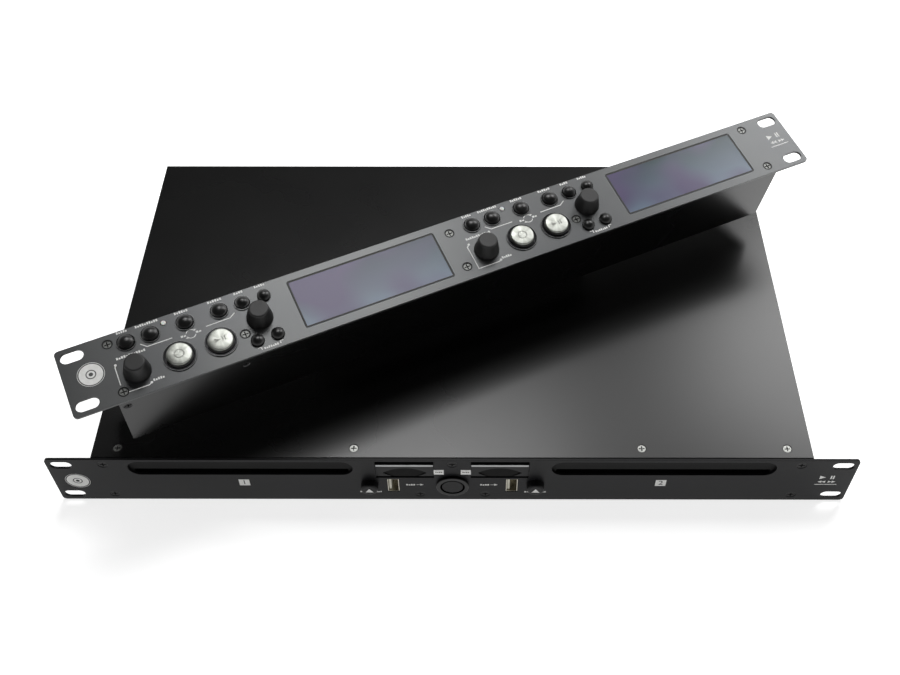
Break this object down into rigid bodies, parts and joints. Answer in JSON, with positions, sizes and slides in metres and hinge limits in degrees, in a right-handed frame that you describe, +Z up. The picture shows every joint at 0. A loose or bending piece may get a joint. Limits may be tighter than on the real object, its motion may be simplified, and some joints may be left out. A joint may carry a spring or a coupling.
{
  "type": "dual cd player for dj",
  "caption": "Rack-mount disc player with slot-loading drives, and its separate control unit with displays, knobs and buttons, leaning on the player's cover.",
  "frame": {"origin": "middle of the player's underside", "axes": "+X along the front panels to the right, +Y to the back, +Z up"},
  "size_m": [0.4826, 0.2799, 0.1218],
  "materials": {
    "panel_paint": "satin",
    "control_panel_paint": "satin",
    "cover_paint": "fine texture",
    "chassis_steel": "zinc plated",
    "screw_steel": "zinc plated",
    "black_plastic": "moulded",
    "button_plastic": "moulded",
    "button_cap": "brushed",
    "knob_rubber": "soft-touch",
    "display_window": "polished",
    "display_module": "moulded",
    "door_plastic": "satin",
    "trim_ring": "satin",
    "lamp": "clear",
    "socket_metal": "nickel plated",
    "board": "solder mask",
    "rubber": "matt",
    "shaft_steel": "turned"
  },
  "bodies": {
    "player": {"player_front_panel": "panel_paint", "player_chassis": "chassis_steel", "player_top_cover": "cover_paint", "player_screws": "screw_steel", "front_bezels": "black_plastic", "usb_sockets": "socket_metal", "card_readers": "black_plastic", "main_board": "board", "power_supply": "board", "rear_sockets": "socket_metal", "power_inlet": "black_plastic", "disc_drive_frame_1": "shaft_steel", "disc_drive_frame_2": "shaft_steel"},
    "controller": {"controller_front_panel": "control_panel_paint", "controller_chassis": "cover_paint", "controller_top_cover": "cover_paint", "controller_screws": "screw_steel", "link_socket_housing": "cover_paint", "display_windows": "display_window", "display_modules": "display_module", "button_bezels": "trim_ring", "status_leds": "lamp", "control_board": "board"},
    "back_button_1": {"back_button_1": "button_plastic"},
    "source_button_1": {"source_button_1": "button_plastic"},
    "single_button_1": {"single_button_1": "button_plastic"},
    "repeat_button_1": {"repeat_button_1": "button_plastic"},
    "time_button_1": {"time_button_1": "button_plastic"},
    "pitch_button_1": {"pitch_button_1": "button_plastic"},
    "search_back_button_1": {"search_back_button_1": "button_plastic"},
    "search_forward_button_1": {"search_forward_button_1": "button_plastic"},
    "cue_button_1": {"cue_button_1": "button_cap"},
    "play_button_1": {"play_button_1": "button_cap"},
    "track_shaft_1": {"track_shaft_1": "shaft_steel"},
    "track_knob_1": {"track_knob_1": "knob_rubber"},
    "pitch_knob_1": {"pitch_knob_1": "knob_rubber"},
    "back_button_2": {"back_button_2": "button_plastic"},
    "source_button_2": {"source_button_2": "button_plastic"},
    "single_button_2": {"single_button_2": "button_plastic"},
    "repeat_button_2": {"repeat_button_2": "button_plastic"},
    "time_button_2": {"time_button_2": "button_plastic"},
    "pitch_button_2": {"pitch_button_2": "button_plastic"},
    "search_back_button_2": {"search_back_button_2": "button_plastic"},
    "search_forward_button_2": {"search_forward_button_2": "button_plastic"},
    "cue_button_2": {"cue_button_2": "button_cap"},
    "play_button_2": {"play_button_2": "button_cap"},
    "track_shaft_2": {"track_shaft_2": "shaft_steel"},
    "track_knob_2": {"track_knob_2": "knob_rubber"},
    "pitch_knob_2": {"pitch_knob_2": "knob_rubber"},
    "eject_button_1": {"eject_button_1": "button_plastic"},
    "card_door_1": {"card_door_1": "door_plastic"},
    "feed_roller_1": {"feed_roller_1": "rubber"},
    "disc_spindle_1": {"disc_spindle_1": "black_plastic"},
    "laser_sled_1": {"laser_sled_1": "black_plastic"},
    "eject_button_2": {"eject_button_2": "button_plastic"},
    "card_door_2": {"card_door_2": "door_plastic"},
    "feed_roller_2": {"feed_roller_2": "rubber"},
    "disc_spindle_2": {"disc_spindle_2": "black_plastic"},
    "laser_sled_2": {"laser_sled_2": "black_plastic"},
    "power_button": {"power_button": "button_plastic"}
  },
  "joints": [
    {"name": "controller_lift_off", "type": "slide", "parent": "player", "child": "controller", "axis": [0, 0, 1], "range_m": [0, 0.3]},
    {"name": "back_button_1_press", "type": "slide", "parent": "controller", "child": "back_button_1", "axis": [-0.081, 0.169, -0.9823], "range_m": [0, 0.001], "stiffness_N_per_m": 300, "springref_m": -0.0005},
    {"name": "source_button_1_press", "type": "slide", "parent": "controller", "child": "source_button_1", "axis": [-0.081, 0.169, -0.9823], "range_m": [0, 0.001], "stiffness_N_per_m": 300, "springref_m": -0.0005},
    {"name": "single_button_1_press", "type": "slide", "parent": "controller", "child": "single_button_1", "axis": [-0.081, 0.169, -0.9823], "range_m": [0, 0.001], "stiffness_N_per_m": 300, "springref_m": -0.0005},
    {"name": "repeat_button_1_press", "type": "slide", "parent": "controller", "child": "repeat_button_1", "axis": [-0.081, 0.169, -0.9823], "range_m": [0, 0.001], "stiffness_N_per_m": 300, "springref_m": -0.0005},
    {"name": "time_button_1_press", "type": "slide", "parent": "controller", "child": "time_button_1", "axis": [-0.081, 0.169, -0.9823], "range_m": [0, 0.001], "stiffness_N_per_m": 300, "springref_m": -0.0005},
    {"name": "pitch_button_1_press", "type": "slide", "parent": "controller", "child": "pitch_button_1", "axis": [-0.081, 0.169, -0.9823], "range_m": [0, 0.001], "stiffness_N_per_m": 300, "springref_m": -0.0005},
    {"name": "search_back_button_1_press", "type": "slide", "parent": "controller", "child": "search_back_button_1", "axis": [-0.081, 0.169, -0.9823], "range_m": [0, 0.001], "stiffness_N_per_m": 300, "springref_m": -0.0005},
    {"name": "search_forward_button_1_press", "type": "slide", "parent": "controller", "child": "search_forward_button_1", "axis": [-0.081, 0.169, -0.9823], "range_m": [0, 0.001], "stiffness_N_per_m": 300, "springref_m": -0.0005},
    {"name": "cue_button_1_press", "type": "slide", "parent": "controller", "child": "cue_button_1", "axis": [-0.081, 0.169, -0.9823], "range_m": [0, 0.001], "stiffness_N_per_m": 500, "springref_m": -0.0005},
    {"name": "play_button_1_press", "type": "slide", "parent": "controller", "child": "play_button_1", "axis": [-0.081, 0.169, -0.9823], "range_m": [0, 0.001], "stiffness_N_per_m": 500, "springref_m": -0.0005},
    {"name": "track_shaft_1_press", "type": "slide", "parent": "controller", "child": "track_shaft_1", "axis": [-0.081, 0.169, -0.9823], "range_m": [0, 0.0005], "stiffness_N_per_m": 1500, "springref_m": -0.0005},
    {"name": "track_knob_1_turn", "type": "hinge", "parent": "track_shaft_1", "child": "track_knob_1", "pos_m": [-0.17341, -0.11246, 0.10943], "axis": [0.081, -0.169, 0.9823], "continuous": true},
    {"name": "pitch_knob_1_turn", "type": "hinge", "parent": "controller", "child": "pitch_knob_1", "pos_m": [-0.1102, -0.07477, 0.1107], "axis": [0.081, -0.169, 0.9823], "continuous": true},
    {"name": "back_button_2_press", "type": "slide", "parent": "controller", "child": "back_button_2", "axis": [-0.081, 0.169, -0.9823], "range_m": [0, 0.001], "stiffness_N_per_m": 300, "springref_m": -0.0005},
    {"name": "source_button_2_press", "type": "slide", "parent": "controller", "child": "source_button_2", "axis": [-0.081, 0.169, -0.9823], "range_m": [0, 0.001], "stiffness_N_per_m": 300, "springref_m": -0.0005},
    {"name": "single_button_2_press", "type": "slide", "parent": "controller", "child": "single_button_2", "axis": [-0.081, 0.169, -0.9823], "range_m": [0, 0.001], "stiffness_N_per_m": 300, "springref_m": -0.0005},
    {"name": "repeat_button_2_press", "type": "slide", "parent": "controller", "child": "repeat_button_2", "axis": [-0.081, 0.169, -0.9823], "range_m": [0, 0.001], "stiffness_N_per_m": 300, "springref_m": -0.0005},
    {"name": "time_button_2_press", "type": "slide", "parent": "controller", "child": "time_button_2", "axis": [-0.081, 0.169, -0.9823], "range_m": [0, 0.001], "stiffness_N_per_m": 300, "springref_m": -0.0005},
    {"name": "pitch_button_2_press", "type": "slide", "parent": "controller", "child": "pitch_button_2", "axis": [-0.081, 0.169, -0.9823], "range_m": [0, 0.001], "stiffness_N_per_m": 300, "springref_m": -0.0005},
    {"name": "search_back_button_2_press", "type": "slide", "parent": "controller", "child": "search_back_button_2", "axis": [-0.081, 0.169, -0.9823], "range_m": [0, 0.001], "stiffness_N_per_m": 300, "springref_m": -0.0005},
    {"name": "search_forward_button_2_press", "type": "slide", "parent": "controller", "child": "search_forward_button_2", "axis": [-0.081, 0.169, -0.9823], "range_m": [0, 0.001], "stiffness_N_per_m": 300, "springref_m": -0.0005},
    {"name": "cue_button_2_press", "type": "slide", "parent": "controller", "child": "cue_button_2", "axis": [-0.081, 0.169, -0.9823], "range_m": [0, 0.001], "stiffness_N_per_m": 500, "springref_m": -0.0005},
    {"name": "play_button_2_press", "type": "slide", "parent": "controller", "child": "play_button_2", "axis": [-0.081, 0.169, -0.9823], "range_m": [0, 0.001], "stiffness_N_per_m": 500, "springref_m": -0.0005},
    {"name": "track_shaft_2_press", "type": "slide", "parent": "controller", "child": "track_shaft_2", "axis": [-0.081, 0.169, -0.9823], "range_m": [0, 0.0005], "stiffness_N_per_m": 1500, "springref_m": -0.0005},
    {"name": "track_knob_2_turn", "type": "hinge", "parent": "track_shaft_2", "child": "track_knob_2", "pos_m": [0.02048, -0.01957, 0.10943], "axis": [0.081, -0.169, 0.9823], "continuous": true},
    {"name": "pitch_knob_2_turn", "type": "hinge", "parent": "controller", "child": "pitch_knob_2", "pos_m": [0.0837, 0.01813, 0.1107], "axis": [0.081, -0.169, 0.9823], "continuous": true},
    {"name": "eject_button_1_press", "type": "slide", "parent": "player", "child": "eject_button_1", "axis": [0, 1, 0], "range_m": [0, 0.0015], "stiffness_N_per_m": 400, "springref_m": -0.0005},
    {"name": "card_door_1_swing", "type": "hinge", "parent": "player", "child": "card_door_1", "pos_m": [-0.0285, -0.1253, 0.028], "axis": [1, 0, 0], "range_deg": [0, 90]},
    {"name": "feed_roller_1_turn", "type": "hinge", "parent": "player", "child": "feed_roller_1", "pos_m": [-0.1263, -0.115, 0.025], "axis": [1, 0, 0], "continuous": true},
    {"name": "disc_spindle_1_turn", "type": "hinge", "parent": "player", "child": "disc_spindle_1", "pos_m": [-0.1263, -0.0485, 0.0256], "axis": [0, 0, 1], "continuous": true},
    {"name": "laser_sled_1_slide", "type": "slide", "parent": "player", "child": "laser_sled_1", "axis": [0, 1, 0], "range_m": [0, 0.035]},
    {"name": "eject_button_2_press", "type": "slide", "parent": "player", "child": "eject_button_2", "axis": [0, 1, 0], "range_m": [0, 0.0015], "stiffness_N_per_m": 400, "springref_m": -0.0005},
    {"name": "card_door_2_swing", "type": "hinge", "parent": "player", "child": "card_door_2", "pos_m": [0.0285, -0.1253, 0.028], "axis": [1, 0, 0], "range_deg": [0, 90]},
    {"name": "feed_roller_2_turn", "type": "hinge", "parent": "player", "child": "feed_roller_2", "pos_m": [0.1263, -0.115, 0.025], "axis": [1, 0, 0], "continuous": true},
    {"name": "disc_spindle_2_turn", "type": "hinge", "parent": "player", "child": "disc_spindle_2", "pos_m": [0.1263, -0.0485, 0.0256], "axis": [0, 0, 1], "continuous": true},
    {"name": "laser_sled_2_slide", "type": "slide", "parent": "player", "child": "laser_sled_2", "axis": [0, 1, 0], "range_m": [0, 0.035]},
    {"name": "power_button_press", "type": "slide", "parent": "player", "child": "power_button", "axis": [0, 1, 0], "range_m": [0, 0.0016], "stiffness_N_per_m": 400, "springref_m": -0.0005}
  ]
}
